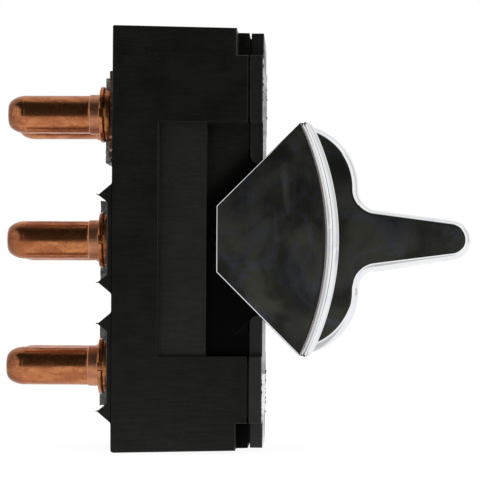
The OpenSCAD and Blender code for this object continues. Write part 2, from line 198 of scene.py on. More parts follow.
def chrome(name):
    """Bright chrome plate over a casting: a slow ripple, an orange-peel skin, smudges partly tinted blue as a
    painted reflection, and dust.
    """
    paint = Paint(name, Metallic=1.0)
    smudge_and_reflection = paint.noise(5.0, 5, 0.62, 0.9)
    streak = paint.noise(0.6, 4, 0.6, place=paint.stretched(z=6))
    second_tone = paint.noise(0.16, 2)
    haze = paint.math("MULTIPLY", paint.span(smudge_and_reflection, 0.45, 0.62), paint.span(streak, 0.4, 0.65))
    # bluish patches in the colour: partly smudges, partly a painted reflection of the tent's tinted light
    tint = paint.mix(paint.span(smudge_and_reflection, 0.54, 0.62), (0.85, 0.86, 0.87), (0.80, 0.82, 0.88))
    specks = paint.span(second_tone, 0.70, 0.76)
    # a rougher, pinkish band along the inner root of the bead
    across = paint.math("SUBTRACT", paint.axis("X"), IN_CX * MM)
    height = paint.axis("Z")
    reach = paint.math("SQRT", paint.math("ADD", paint.math("MULTIPLY", across, across),
                                          paint.math("MULTIPLY", height, height)))
    root = paint.band(reach, (RIM_IN_R - 0.18, RIM_IN_R - 0.12), (RIM_IN_R - 0.01, RIM_IN_R + 0.05))
    tint = paint.mix(paint.math("MULTIPLY", root, 0.9), tint, (0.72, 0.60, 0.59))
    paint.set("Base Color", paint.mix(specks, tint, (0.55, 0.55, 0.55)))
    paint.set("Roughness", paint.math("ADD", paint.span(haze, 0.0, 1.0, 0.018, 0.06),
                                      paint.math("MULTIPLY", root, 0.36)))
    ripple = paint.bump(paint.noise(7.0, 1), 0.004)
    paint.set("Normal", paint.bump(paint.noise(0.35, 2), 0.00025, ripple))
    return paint.material


def copper(name, bright, dull, tarnish, rough=0.25, terminal_wear=True):
    """Drawn copper: drawing lines along X, pits and tarnish in patches. A terminal's nose is scuffed and its
    collar is paler."""
    paint = Paint(name, Metallic=1.0)
    lines = paint.noise(0.10, 4, 0.6, place=paint.stretched(x=22))
    cloud = paint.noise(0.9, 5, 0.65, 0.5, place=paint.stretched(x=2.2))
    pits = paint.cells(0.30, place=paint.stretched(x=1.8))
    pit_here = paint.math("MULTIPLY", paint.span(pits, 0.13, 0.04), paint.span(cloud, 0.48, 0.60))
    stain = paint.span(paint.noise(0.5, 5, 0.7, 0.8), 0.52, 0.66)
    base = paint.mix(paint.span(cloud, 0.36, 0.62), bright, dull)
    base = paint.mix(paint.math("MULTIPLY", paint.span(lines, 0.45, 0.7), 0.45), base, dull)
    base = paint.mix(paint.math("MULTIPLY", stain, 0.45), base, tarnish)
    along = paint.axis("X")
    if terminal_wear:
        worn = paint.ramp(along, *NOSE_WEAR)
        scuff = paint.math("MULTIPLY", worn, paint.span(paint.noise(0.16, 4, 0.7), 0.46, 0.62))
        base = paint.mix(paint.math("MULTIPLY", worn, 0.35), base, tarnish)
        base = paint.mix(paint.math("MULTIPLY", scuff, 0.6), base, (0.06, 0.04, 0.032))
    base = paint.mix(pit_here, base, (0.035, 0.014, 0.010))
    shine = paint.span(paint.math("ADD", cloud, pit_here), 0.3, 0.9, rough - 0.05, rough + 0.16)
    if terminal_wear:
        collar = paint.band(along, (COLLAR_END - 0.05, COLLAR_END + 0.01),
                            (FLANGE_FRONT - 0.03, FLANGE_FRONT + 0.01))
        base = paint.mix(paint.math("MULTIPLY", collar, 0.45), base, (0.60, 0.30, 0.19))
        shine = paint.math("ADD", shine, paint.math("MULTIPLY", collar, 0.12))
    paint.set("Base Color", base)
    paint.set("Roughness", shine)
    skin = paint.bump(lines, 0.0016)
    skin = paint.bump(paint.noise(0.22, 3, 0.6), 0.002, skin)
    paint.set("Normal", paint.bump(paint.math("MULTIPLY", pit_here, -1.0), 0.012, skin))
    return paint.material


def plain_metal(name, colour, rough, grain_axis=None):
    """Turned or drawn metal for the small parts inside, with fine lines and dulled patches."""
    paint = Paint(name, Metallic=1.0)
    place = paint.stretched(**{grain_axis: 15}) if grain_axis else None
    lines = paint.noise(0.07, 3, place=place)
    cloud = paint.noise(0.8, 4, 0.6)
    dull = tuple(c * 0.62 for c in colour)
    paint.set("Base Color", paint.mix(paint.span(cloud, 0.4, 0.7), colour, dull))
    paint.set("Roughness", paint.span(cloud, 0.3, 0.7, rough, rough + 0.15))
    paint.set("Normal", paint.bump(lines, 0.002))
    return paint.material


def sheet_stuff(name, dark, light, rough, size, depth):
    """Fibre board, nylon and moulded insulators: a mottled tone with a grain of that size."""
    paint = Paint(name, IOR=1.5)
    cloud = paint.noise(size * 6, 5, 0.65, 0.4)
    fibre = paint.noise(size, 4, 0.6, place=paint.stretched(y=4))
    paint.set("Base Color", paint.mix(paint.span(cloud, 0.35, 0.65), dark, light))
    paint.set("Roughness", paint.span(fibre, 0.3, 0.7, rough - 0.06, rough + 0.08))
    paint.set("Normal", paint.bump(fibre, depth))
    return paint.material


# ---------------------------------------------------------------- sizes that looks and shapes share
# in millimetres

rim_low, rim_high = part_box("lever_cap")
HALF_W = rim_high.y / MM
TIP_X = rim_high.x / MM
RIM_HALF = rim_high.z / MM
RIM_OUT_R, RIM_IN_R, RIM_APEX, RIM_T = 25.7, 27.0, 22.32, 1.13  # the rim's arcs, its front and its thickness
OUT_CX = RIM_APEX - RIM_OUT_R
IN_CX = RIM_APEX - RIM_T - RIM_IN_R
FLAT_Y = 10.0  # outer face of the cheeks and sides of the paddle
CHEEK_LEFT, CHEEK_FLAT = rim_low.x / MM, 3.27  # the cheek's back edge and half its height there
HUMP = (18.0, 5.1, 6.3)  # centre x, centre z and radius
FILLET = (26.3, 4.92, 2.0)
TIP_R = 1.98
TIP_CX = TIP_X - TIP_R
# slope of the nose's flank, which touches the fillet and the tip, in degrees
NOSE = math.degrees(math.atan2(FILLET[1], TIP_CX - FILLET[0])
                    - math.asin((FILLET[2] + TIP_R) / math.hypot(TIP_CX - FILLET[0], FILLET[1])))
EDGE_R, NOSE_SHARE = 0.85, 0.80  # the nose is rounded a little less than the hump

FLANGE_BACK, FLANGE_FRONT, COLLAR_END, NOSE_WEAR = -1.21, -1.69, -2.75, (-9.1, -10.6)  # along a terminal
ROW_PITCH = 12.7
SHALLOW_Y, DEEP_Y, RECESS_BACK = 9.6, 9.1, 9.1  # the case's side recesses
PLATE_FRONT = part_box("front_plate")[1].x / MM
CASE_DARK, CASE_LIGHT = (0.0024, 0.0025, 0.0014), (0.0046, 0.0048, 0.0032)

CASE = case_plastic()
PLATE = plate_plastic()
RUBBER = sheet_stuff("gasket_rubber", (0.004, 0.004, 0.004), (0.008, 0.008, 0.008), 0.75, 0.1, 0.006)
CHROME = chrome("chrome")
COPPER = copper("copper", (0.55, 0.214, 0.085), (0.36, 0.118, 0.048), (0.14, 0.052, 0.032))
COPPER_DARK = copper("dark_copper", (0.50, 0.20, 0.07), (0.26, 0.09, 0.035), (0.07, 0.03, 0.02), 0.34, False)
COPPER_SHEAR = copper("strip_copper", (0.72, 0.38, 0.26), (0.34, 0.13, 0.09), (0.08, 0.03, 0.025), 0.3, False)
STEEL = plain_metal("steel", (0.62, 0.62, 0.63), 0.22)
SPRING = plain_metal("spring_steel", (0.55, 0.55, 0.57), 0.26)
BRASS = plain_metal("brass", (0.74, 0.56, 0.26), 0.25)
BRIDGE = plain_metal("bridge_copper", (0.78, 0.40, 0.24), 0.24, "z")
FIBRE = sheet_stuff("fibre_board", (0.19, 0.10, 0.045), (0.30, 0.17, 0.08), 0.55, 0.12, 0.01)
NYLON = sheet_stuff("natural_nylon", (0.62, 0.59, 0.50), (0.72, 0.69, 0.60), 0.42, 0.15, 0.003)
CORE = moulded_black("core_plastic", (0.006, 0.006, 0.006), (0.010, 0.010, 0.010), 0.45)[0].material
GREY = sheet_stuff("grey_insulator", (0.055, 0.062, 0.058), (0.21, 0.225, 0.215), 0.34, 0.10, 0.012)


# ---------------------------------------------------------------- mesh helpers

def make_object(name, verts, faces):
    """A mesh object from points in millimetres."""
    mesh = bpy.data.meshes.new(name)
    mesh.from_pydata([tuple(c * MM for c in v) for v in verts], [], faces)
    mesh.validate()
    piece = bpy.data.objects.new(name, mesh)
    bpy.context.scene.collection.objects.link(piece)
    return piece


def rings_to_faces(count, size):
    """Quads between rings of points in order, with an n-gon over each end."""
    faces = []
    for k in range(count - 1):
        for s in range(size):
            n = (s + 1) % size
            faces.append((k * size + s, k * size + n, (k + 1) * size + n, (k + 1) * size + s))
    faces.append(tuple(range(size - 1, -1, -1)))
    faces.append(tuple(range((count - 1) * size, count * size)))
    return faces


def outward(piece):
    """Turns every face of a closed piece to the outside."""
    bm = bmesh.new()
    bm.from_mesh(piece.data)
    bmesh.ops.recalc_face_normals(bm, faces=bm.faces[:])
    bm.to_mesh(piece.data)
    bm.free()
    return piece


def settle(piece):
    """Puts the result of the piece's modifiers into its mesh."""
    graph = bpy.context.evaluated_depsgraph_get()
    result = bpy.data.meshes.new_from_object(piece.evaluated_get(graph), preserve_all_data_layers=True,
                                             depsgraph=graph)
    piece.modifiers.clear()
    piece.data = result
    return piece


def shade(piece, sharp_angle, weighted=True):
    """Smooth shading with sharp edges, and flat faces that stay flat."""
    piece.data.shade_smooth()
    piece.data.set_sharp_from_angle(angle=math.radians(sharp_angle))
    if weighted:
        modifier = piece.modifiers.new("flats", "WEIGHTED_NORMAL")
        modifier.keep_sharp = True
        modifier.weight = 100
        settle(piece)
    return piece


def finish_piece(piece, material, body, slot, *replaced):
    """Gives a piece its material and its body, and hides the CAD nodes it stands for."""
    piece.data.materials.clear()
    piece.data.materials.append(material)
    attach(piece, body)
    if replaced:
        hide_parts(*replaced)
    return piece


def join_solids(name, solids):
    """One clean solid out of several closed ones."""
    first = solids[0]
    first.name = name
    for other in solids[1:]:
        modifier = first.modifiers.new("join", "BOOLEAN")
        modifier.operation = "UNION"
        modifier.solver = "EXACT"
        modifier.object = other
        settle(first)
        bpy.data.objects.remove(other)
    return first


def opened(node, name):
    """A copy of a CAD node as an object, and as a bmesh whose flats are single faces."""
    piece = bpy.data.objects.new(name, nodes[node].data.copy())
    bpy.context.scene.collection.objects.link(piece)
    bm = bmesh.new()
    bm.from_mesh(piece.data)
    bmesh.ops.remove_doubles(bm, verts=bm.verts[:], dist=1e-6)
    bmesh.ops.dissolve_limit(bm, angle_limit=math.radians(0.5), verts=bm.verts[:], edges=bm.edges[:])
    return piece, bm


def written(piece, bm):
    """Puts the bmesh into the piece, without the CAD's own normals, which no longer fit."""
    bm.to_mesh(piece.data)
    bm.free()
    if "custom_normal" in piece.data.attributes:
        piece.data.attributes.remove(piece.data.attributes["custom_normal"])


def refined(node, name, width, segments, wide=None, shortest=0.0):
    """A copy of a CAD node's mesh with its corners rounded.

    wide(point, point) can give an edge its own radius. Edges under shortest stay sharp."""
    corner = math.radians(30)
    piece, bm = opened(node, name)
    # a flat with holes in it is split first, or the bevel folds it over itself
    bmesh.ops.connect_verts_concave(bm, faces=[face for face in bm.faces if len(face.verts) > 4])
    weights = bm.edges.layers.float.new("bevel_weight_edge")
    groups = {}
    for edge in bm.edges:
        if edge.calc_length() < shortest * MM:
            continue
        if len(edge.link_faces) == 2 and edge.calc_face_angle(0) > corner:
            radius = width
            if wide is not None:
                radius = wide(edge.verts[0].co / MM, edge.verts[1].co / MM) or width
            groups.setdefault(radius, []).append(edge)
    largest = max(groups)
    for radius, edges in groups.items():
        for edge in edges:
            edge[weights] = radius / largest
    for face in bm.faces:
        face.smooth = True
    written(piece, bm)
    modifier = piece.modifiers.new("corners", "BEVEL")
    modifier.limit_method = "WEIGHT"
    modifier.width = largest * MM
    modifier.segments = segments
    modifier.use_clamp_overlap = shortest == 0
    settle(piece)
    return shade(piece, 40)


def arc(cx, cz, radius, start, end, count):
    """Points along an arc, from start to end in degrees."""
    return [(cx + radius * math.cos(math.radians(start + (end - start) * k / count)),
             cz + radius * math.sin(math.radians(start + (end - start) * k / count)))
            for k in range(count + 1)]


# ---------------------------------------------------------------- lever cap

def paddle_ring(inset):
    """The paddle's outline drawn in by an even margin. Its foot stays inside the rim's plate."""
    foot_r = RIM_OUT_R - 0.5
    hump_r = HUMP[2] - inset
    dx, dz = HUMP[0] - OUT_CX, HUMP[1]
    gap = math.hypot(dx, dz)
    along = (gap * gap + foot_r * foot_r - hump_r * hump_r) / (2 * gap)
    across = math.sqrt(max(foot_r * foot_r - along * along, 0))
    start = (OUT_CX + (dx * along - dz * across) / gap, (dz * along + dx * across) / gap)
    angle = math.degrees(math.atan2(start[1] - HUMP[1], start[0] - HUMP[0]))
    fillet = []
    for k in range(21):
        turn = math.radians(180 + (90 - NOSE) * k / 20)
        radius = FILLET[2] + inset * (1 - (1 - NOSE_SHARE) * k / 20)
        fillet.append((FILLET[0] + radius * math.cos(turn), FILLET[1] + radius * math.sin(turn)))
    upper = (arc(HUMP[0], HUMP[1], hump_r, angle, 0, 36)
             + fillet + arc(TIP_CX, 0, TIP_R - inset * NOSE_SHARE, 90 - NOSE, 0, 24))
    lower = [(x, -z) for x, z in reversed(upper[:-1])]
    foot_angle = math.degrees(math.atan2(start[1], start[0] - OUT_CX))
    foot = arc(OUT_CX, 0, foot_r, -foot_angle, foot_angle, 48)[1:-1]
    return upper + lower + foot


def rounded_slab(name, ring, low, high, radius, steps, side=1):
    """A slab along Y from low to high, with rounded rims. ring(inset) is its outline."""
    turns = [math.radians(90 * k / steps) for k in range(steps + 1)]
    rows = [(low + radius * (1 - math.sin(turn)), radius * (1 - math.cos(turn))) for turn in reversed(turns)]
    rows += [(high - radius * (1 - math.sin(turn)), radius * (1 - math.cos(turn))) for turn in turns]
    verts, size = [], 0
    for y, inset in rows:
        points = ring(inset)
        size = len(points)
        verts += [(x, side * y, z) for x, z in points]
    return outward(make_object(name, verts, rings_to_faces(len(rows), size)))


def bead_section(height, base_y, half_in, half_out):
    """The rim's edge across its thickness: a crested ridge with a shallow ramp up from the cheek."""
    power, steps, fillet = 1.35, 18, 0.10
    ramp, ramp_rise = 0.40, 0.03
    turns = [math.radians(90 * k / 8) for k in range(9)]
    points = [(-half_in - fillet - ramp, base_y), (-half_in - fillet - ramp / 2, base_y + ramp_rise * 0.4)]
    points += [(-half_in - fillet * (1 - math.sin(turn)),
                base_y + ramp_rise + (fillet - ramp_rise) * (1 - math.cos(turn))) for turn in turns]
    rise = height - fillet
    for side, half in ((-1, half_in), (1, half_out)):
        for k in range(1, steps + 1 if side < 0 else steps):
            turn = (k if side < 0 else steps - k) / steps * math.pi / 2
            points.append((side * half * math.cos(turn) ** (2 / power),
                           base_y + fillet + rise * math.sin(turn) ** (2 / power)))
    points += [(half_out + fillet * (1 - math.sin(turn)), base_y + fillet * (1 - math.cos(turn)))
               for turn in reversed(turns)]
    return points


def lever_rim():
    """The curved rim plate with a bead along both sides, drawn in and rounded at its two ends."""
    half_t = RIM_T / 2
    bead_in, bead_out = 0.46, 0.53
    section = bead_section(HALF_W - FLAT_Y, FLAT_Y, bead_in, bead_out)
    near = [(t, -y) for t, y in section]
    lip_y, plate_y = FLAT_Y - 0.12, FLAT_Y - 0.25
    loop = ([(section[0][0], lip_y), (-half_t, plate_y), (-half_t, -plate_y), (section[0][0], -lip_y)] + near
            + [(section[-1][0], -lip_y), (half_t, -plate_y), (half_t, plate_y), (section[-1][0], lip_y)]
            + list(reversed(section)))
    out_a = math.degrees(math.asin(RIM_HALF / RIM_OUT_R))
    in_a = math.degrees(math.asin(RIM_HALF / RIM_IN_R))
    end_r, steps = 0.5, 8
    length = math.radians(out_a) * RIM_OUT_R * 2
    turns = [math.radians(90 * k / steps) for k in range(steps + 1)]
    # distance along the arc from its lower end, and how far the section is drawn in there
    rounding = [(end_r * (1 - math.cos(turn)), end_r * (1 - math.sin(turn))) for turn in turns]
    path = (rounding + [(end_r + (length - 2 * end_r) * k / 150, 0.0) for k in range(1, 150)]
            + [(length - distance, inset) for distance, inset in reversed(rounding)])
    verts = []
    for along, inset in path:
        share = along / length * 2 - 1
        a, b = math.radians(out_a * share), math.radians(in_a * share)
        outer = Vector((OUT_CX + RIM_OUT_R * math.cos(a), RIM_OUT_R * math.sin(a)))
        inner = Vector((IN_CX + RIM_IN_R * math.cos(b), RIM_IN_R * math.sin(b)))
        centre = (outer + inner) / 2
        across = (outer - inner) / RIM_T
        near_end = min(along, length - along)
        skirt = min(max((near_end - 0.3) / 1.2, 0.0), 1.0)
        for t, y in loop:
            extra = max(abs(t) - half_t, 0) * skirt
            t = math.copysign(min(abs(t), half_t) * (1 - inset / half_t) + extra, t)
            y = math.copysign(max(abs(y) - inset, 0.01), y)
            spot = centre + across * t
            verts.append((spot.x, y, spot.y))
    return outward(make_object("rim", verts, rings_to_faces(len(path), len(loop))))


def cheek_ring(inset):
    """The outline of a side plate of the cap, cut off flat at the back and at 45 degrees above and below."""
    back_r = RIM_IN_R + 0.3
    reach = math.asin((RIM_HALF - 0.25) / RIM_IN_R)
    top_z = back_r * math.sin(reach)
    lean, slant = inset * math.tan(math.radians(22.5)), inset * math.sqrt(2)
    top_x = CHEEK_LEFT + top_z - CHEEK_FLAT + slant
    back = arc(IN_CX, 0, back_r, math.degrees(reach), -math.degrees(reach), 60)
    back_x, back_z = CHEEK_LEFT + inset, CHEEK_FLAT - lean
    return [(back_x, -back_z), (back_x, back_z), (top_x, top_z)] + back + [(top_x, -top_z)]


CHEEK_IN, CHEEK_EDGE = 8.95, 0.13
paddle = rounded_slab("paddle", paddle_ring, -FLAT_Y, FLAT_Y, EDGE_R, 12)
rim = lever_rim()
cheeks = [rounded_slab("cheek", cheek_ring, CHEEK_IN, FLAT_Y, CHEEK_EDGE, 5, side) for side in (-1, 1)]
cap = join_solids("lever_cap_chromed", [paddle, rim, *cheeks])
shade(cap, 50)
finish_piece(cap, CHROME, "lever", "chrome", "lever_cap")


# ---------------------------------------------------------------- terminals

TERMINALS = [name for name in nodes if name.startswith("terminal_") and name != "terminal_washers"]
BARREL_R, COLLAR_R, FLANGE_R, SHANK_R = 1.92, 2.02, 2.83, 1.2
NOSE_LEN, NOSE_FLAT_R, NOSE_POWER = 1.65, 0.95, 1.12
NOTCH_HALF, NOTCH_DEPTH = 0.45, 0.28


def terminal_profile(tip, head):
    """Places and radii along a terminal, from its inner head to the flat of its nose."""
    nose_start = tip + NOSE_LEN
    inner = [(head, 0.001), (head, 1.4), (head - 0.1, 1.5), (head - 0.7, 1.83), (head - 0.8, 1.83),
             (head - 0.8, SHANK_R), (FLANGE_BACK, SHANK_R)]
    flange = [(FLANGE_BACK, FLANGE_R - 0.14), (FLANGE_BACK - 0.04, FLANGE_R - 0.05),
              (FLANGE_BACK - 0.12, FLANGE_R), (FLANGE_BACK - 0.15, FLANGE_R),
              (FLANGE_FRONT + 0.17, FLANGE_R), (FLANGE_FRONT + 0.14, FLANGE_R),
              (FLANGE_FRONT + 0.05, FLANGE_R - 0.05), (FLANGE_FRONT, FLANGE_R - 0.16)]
    collar = [(FLANGE_FRONT, COLLAR_R + 0.1), (FLANGE_FRONT - 0.03, COLLAR_R + 0.03),
              (FLANGE_FRONT - 0.1, COLLAR_R), (FLANGE_FRONT - 0.14, COLLAR_R),
              (COLLAR_END + 0.12, COLLAR_R), (COLLAR_END + 0.09, COLLAR_R),
              (COLLAR_END + 0.06, COLLAR_R - 0.01), (COLLAR_END, COLLAR_R - 0.035),
              (COLLAR_END - 0.05, BARREL_R + 0.01), (COLLAR_END - 0.12, BARREL_R - 0.005)]
    steps = 26
    barrel = [(COLLAR_END - 0.12 + (nose_start + 0.06 - COLLAR_END + 0.12) * k / steps, BARREL_R)
              for k in range(1, steps)]
    # a fine groove where the nose was turned
    groove = [(nose_start + 0.06, BARREL_R), (nose_start + 0.02, BARREL_R - 0.008),
              (nose_start, BARREL_R - 0.01), (nose_start - 0.03, BARREL_R - 0.006)]
    turns = [math.radians(90 * k / 16) for k in range(1, 17)]
    nose = [(nose_start - 0.03 - (NOSE_LEN - 0.03) * math.sin(turn) ** NOSE_POWER,
             NOSE_FLAT_R + (BARREL_R - 0.006 - NOSE_FLAT_R) * math.cos(turn) ** NOSE_POWER) for turn in turns]
    return inner + flange + collar + barrel + groove + nose + [(tip, NOSE_FLAT_R * 0.6), (tip, 0.001)]


def terminal(node, seed):
    """A drawn copper pin with a rounded nose, a stepped collar and a notched flange."""
    low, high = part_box(node)
    centre_y, centre_z = (low.y + high.y) / 2 / MM, (low.z + high.z) / 2 / MM
    tip = low.x / MM
    profile = terminal_profile(tip, high.x / MM)
    notch = math.degrees(math.asin(NOTCH_HALF / FLANGE_R))
    angles = [3.0 * k for k in range(120)]
    for middle in (0, 180):
        angles += [middle - notch, middle - notch + 0.5, middle + notch - 0.5, middle + notch]
    angles = sorted(set(round(a % 360, 3) for a in angles))
    verts = []
    for x, r in profile:
        for a in angles:
            from_side = min(a % 180, 180 - a % 180)
            radius = r
            if FLANGE_FRONT - 0.001 <= x <= FLANGE_BACK + 0.001 and from_side < notch - 0.01:
                radius = min(r, FLANGE_R - NOTCH_DEPTH)
            y, z = math.cos(math.radians(a)), math.sin(math.radians(a))
            wear = noise.noise(Vector((x * 1.6 + seed * 7.1, y * 2.4, z * 2.4)))
            fine = noise.noise(Vector((x * 5 + seed * 3.3, y * 8, z * 8)))
            on_nose = min(max((tip + NOSE_LEN - x) / 0.8, 0), 1)
            dent = -abs(wear) * (0.005 + 0.012 * on_nose) + fine * (0.002 + 0.002 * on_nose)
            if r < 0.01 or x > -1.0:
                dent = 0
            elif x > COLLAR_END:
                dent = -abs(fine) * 0.02
            verts.append((x, centre_y + (radius + dent) * y, centre_z + (radius + dent) * z))
    piece = outward(make_object(node + "_drawn", verts, rings_to_faces(len(profile), len(angles))))
    shade(piece, 30, weighted=False)
    return finish_piece(piece, COPPER, "housing", "copper", node)


for seed, node in enumerate(sorted(TERMINALS)):
    terminal(node, seed)


# ---------------------------------------------------------------- case and front plate

def case_corner(a, b):
    """The lower back corner is worn round, and edges in the recesses and on the ribs are nearly sharp."""
    foot_z, side_y, back_x = -20.4, 9.75, -0.2
    if max(a.z, b.z) < foot_z and max(a.x, b.x) < 0.1:
        return 0.34
    if min(abs(a.y), abs(b.y)) < side_y or min(a.x, b.x) < back_x:
        return 0.03
    return None


case = refined("case", "case_moulded", 0.13, 3, wide=case_corner, shortest=0.6)
finish_piece(case, CASE, "housing", "case_plastic", "case")


def plate_corner(a, b):
    """The plate's two outer side corners are worn round."""
    side_y = 10.4
    if min(a.x, b.x) > PLATE_FRONT - 0.01 and min(abs(a.y), abs(b.y)) > side_y:
        return 0.17
    return None


plate = refined("front_plate", "front_plate_moulded", 0.05, 4, wide=plate_corner)
finish_piece(plate, PLATE, "housing", "plate_board", "front_plate")

core = refined("lever_core", "lever_core_moulded", 0.12, 3)
finish_piece(core, CORE, "lever", "core_plastic", "lever_core")

washers = refined("terminal_washers", "terminal_washers_turned", 0.06, 2)
finish_piece(washers, COPPER_DARK, "housing", "dark_copper", "terminal_washers")


def ragged(node, name, material, slot, cell, depth, seed):
    """A copy of a sheet part cut into small cells, with rough sheared edges that never leave its box."""
    low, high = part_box(node)
    piece, bm = opened(node, name)
    for axis in range(3):
        count = int((high[axis] - low[axis]) / MM / cell)
        for k in range(1, count):
            spot = Vector((0, 0, 0))
            spot[axis] = low[axis] + (high[axis] - low[axis]) * k / count
            way = Vector((0, 0, 0))
            way[axis] = 1
            bmesh.ops.bisect_plane(bm, geom=bm.verts[:] + bm.edges[:] + bm.faces[:], plane_co=spot,
                                   plane_no=way, dist=1e-7)
    middle = (low + high) / 2
    for vert in bm.verts:
        spot = vert.co / MM
        rough = noise.noise(spot * 3.1 + Vector((seed, 0, 0)))
        fine = noise.noise(spot * 9.0 + Vector((0, seed, 0)))
        pull = depth * (abs(rough) * 1.1 + abs(fine) * 0.6)
        for axis in (1, 2):
            if min(abs(vert.co[axis] - low[axis]), abs(high[axis] - vert.co[axis])) < 1e-6:
                vert.co[axis] += math.copysign(pull, middle[axis] - vert.co[axis]) * MM
        if abs(vert.co.x - low.x) < 1e-6:
            vert.co.x += pull * 0.35 * MM
    written(piece, bm)
    shade(piece, 32, weighted=False)
    return finish_piece(piece, material, "housing", slot, node)


ragged("bus_strip", "bus_strip_sheared", COPPER_SHEAR, "strip_copper", 0.22, 0.16, 3)
for row, depth, seed in (("top", 0.3, 5), ("middle", 0.16, 11), ("bottom", 0.16, 17)):
    ragged(f"insulator_{row}", f"insulator_{row}_ragged", GREY, "grey_insulator", 0.25, depth, seed)


def flash(name, line, out, height, material, slot, seed, thickness=0.05, sparse=0.25):
    """A torn fin of moulding flash along a line, standing out by up to height millimetres."""
    start, end = Vector(line[0]), Vector(line[1])
    out = Vector(out).normalized()
    run = end - start
    across = run.cross(out).normalized() * thickness / 2
    count = max(int(run.length / 0.12), 4)
    verts = []
    for k in range(count + 1):
        base = start + run * k / count
        torn = noise.noise(Vector((k * 0.33, seed * 5.3, 0))) * 0.5 + 0.5
        tear = noise.noise(Vector((k * 0.9, seed * 2.7, 4)))
        tall = height * min(max(torn * 1.4 + tear * 0.7 - sparse, 0.05), 1.0)
        curl = across * noise.noise(Vector((k * 0.25, seed, 9))) * 4
        verts += [tuple(base - out * 0.05 - across), tuple(base - out * 0.05 + across),
                  tuple(base + out * tall + across * 0.3 + curl),
                  tuple(base + out * tall - across * 0.3 + curl)]
    piece = outward(make_object(name, verts, rings_to_faces(count + 1, 4)))
    shade(piece, 60, weighted=False)
    return finish_piece(piece, material, "housing", slot)


rib_apex, rib_x, rib_reach = 4.3, -1.35, 10.3
for row, row_z in (("middle", 0), ("bottom", -ROW_PITCH)):
    for way, end in ((-1, "lower"), (1, "upper")):
        z = row_z + way * rib_apex
        line = ((rib_x, -rib_reach, z), (rib_x, rib_reach, z))
        flash(f"rib_flash_{row}_{end}", line, (-1, 0, way * 0.25), 0.30, CASE, "case_plastic",
              row_z + way * 3)

plate_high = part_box("front_plate")[1] / MM
clear_z, burr_end = 13.4, 18.0  # from above the lever's sweep to just under the corner notches
for side, tag in ((-1, "left"), (1, "right")):
    for way, end in ((-1, "lower"), (1, "upper")):
        x, y = plate_high.x - 0.02, side * (plate_high.y - 0.19)
        line = ((x, y, way * clear_z), (x, y, way * burr_end))
        flash(f"plate_burr_{tag}_{end}", line, (1, -side * 0.15, 0), 0.12, PLATE, "plate_board",
              side * 2 + way, 0.09, 0.45)


# ---------------------------------------------------------------- CAD nodes that keep their shape

KEPT = {"gasket": RUBBER, "plate_screws": STEEL, "guide_plate": FIBRE, "pivot_pin": STEEL,
        "pivot_bush": BRASS, "carriage": NYLON, "contact_bridge": BRIDGE, "contact_spring": SPRING,
        "return_spring": SPRING, "spring_cup": BRASS}
for start, material in KEPT.items():
    for node in (name for name in nodes if name.startswith(start)):
        nodes[node].data.materials.clear()
        nodes[node].data.materials.append(material)


# ---------------------------------------------------------------- studio

def glowing(name, level, tints=None):
    """An emission material. level(paint) gives its strength, and tints are two colours mixed in patches."""
    paint = Paint(name)
    paint.tree.nodes.remove(paint.shader)
    glow = paint.add("ShaderNodeEmission", {"Strength": level(paint)})
    if tints:
        cloud = paint.span(paint.noise(PATCH, 4, 0.65, 1.2), 0.56, 0.60)
        patch = paint.math("MAXIMUM", cloud, contour(paint))
        dark = card_dark(paint, paint.axis("X"))
        paint.feed(glow.inputs["Color"], paint.mix(dark, (1.0, 1.0, 1.0), paint.mix(patch, *tints)))
    paint.feed(paint.tree.nodes["Material Output"].inputs["Surface"], glow.outputs[0])
    return paint.material


def contour(paint):
    """Thin wandering lines in the cards' light, which the chrome reflects like the tide marks of a dried
    polish.
    """
    level = paint.noise(PATCH * 1.3, 4, 0.55, 0.8)
    return paint.span(paint.math("ABSOLUTE", paint.math("SUBTRACT", level, 0.5)), 0.022, 0.006)


def inside(paint, axis, low, high, soft):
    """One between low and high along an axis, falling softly to nothing at both ends, in millimetres."""
    return paint.band(paint.axis(axis), (low, low + soft), (high - soft, high))


def card_dark(paint, place):
    """One where the front and over cards are dark, and none at their open white ends."""
    return paint.band(place, (CARD_X0, CARD_X0 + CARD_SOFT), (CARD_X1 - CARD_SOFT, CARD_X1))


def white_ends(paint):
    """The light of the cards' open ends."""
    return paint.math("MULTIPLY", paint.math("SUBTRACT", 1.0, card_dark(paint, paint.axis("X"))), WHITE)


def upright(x0, x1, y, z0, z1):
    """The corners of an upright card."""
    return [(x0, y, z0), (x1, y, z0), (x1, y, z1), (x0, y, z1)]


def level_at(z, x0, x1, y0, y1):
    """The corners of a level card."""
    return [(x0, y0, z), (x1, y0, z), (x1, y1, z), (x0, y1, z)]


def card(name, corners, material):
    """A studio card that only reflections see."""
    piece = make_object(name, corners, [(0, 1, 2, 3)])
    piece.data.materials.append(material)
    for flag in ("visible_camera", "visible_diffuse", "visible_shadow", "visible_transmission"):
        setattr(piece, flag, False)
    return piece


# brightness of the tent and of its dark camera side, least and most
WHITE, DARK_LOW, DARK_HIGH = 1.02, 0.017, 0.036
# sizes of the clouds and streaks there, and the lever's place along X, in millimetres
PATCH, STREAK, LEVER_X = 13.0, 1.2, 22
FLOOR_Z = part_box("case")[0].z / MM - 0.05
CARD_X0, CARD_X1, CARD_Y, CARD_TOP, CARD_FOOT, CARD_SOFT = -125, 176, 245, 125, -62, 22
OVER_END, OVER_SLANT, OVER_GREY = -10, -41, 0.52
# where the floor's dark part ends, where its bright part starts, and the middle of its shadow, along Y
FLOOR_DARK, FLOOR_BRIGHT, FLOOR_DIP = -118, -104, -20
FLOOR_MID, SIDE_LEVEL, FLOOR_END = 1.0, 0.61, 4000


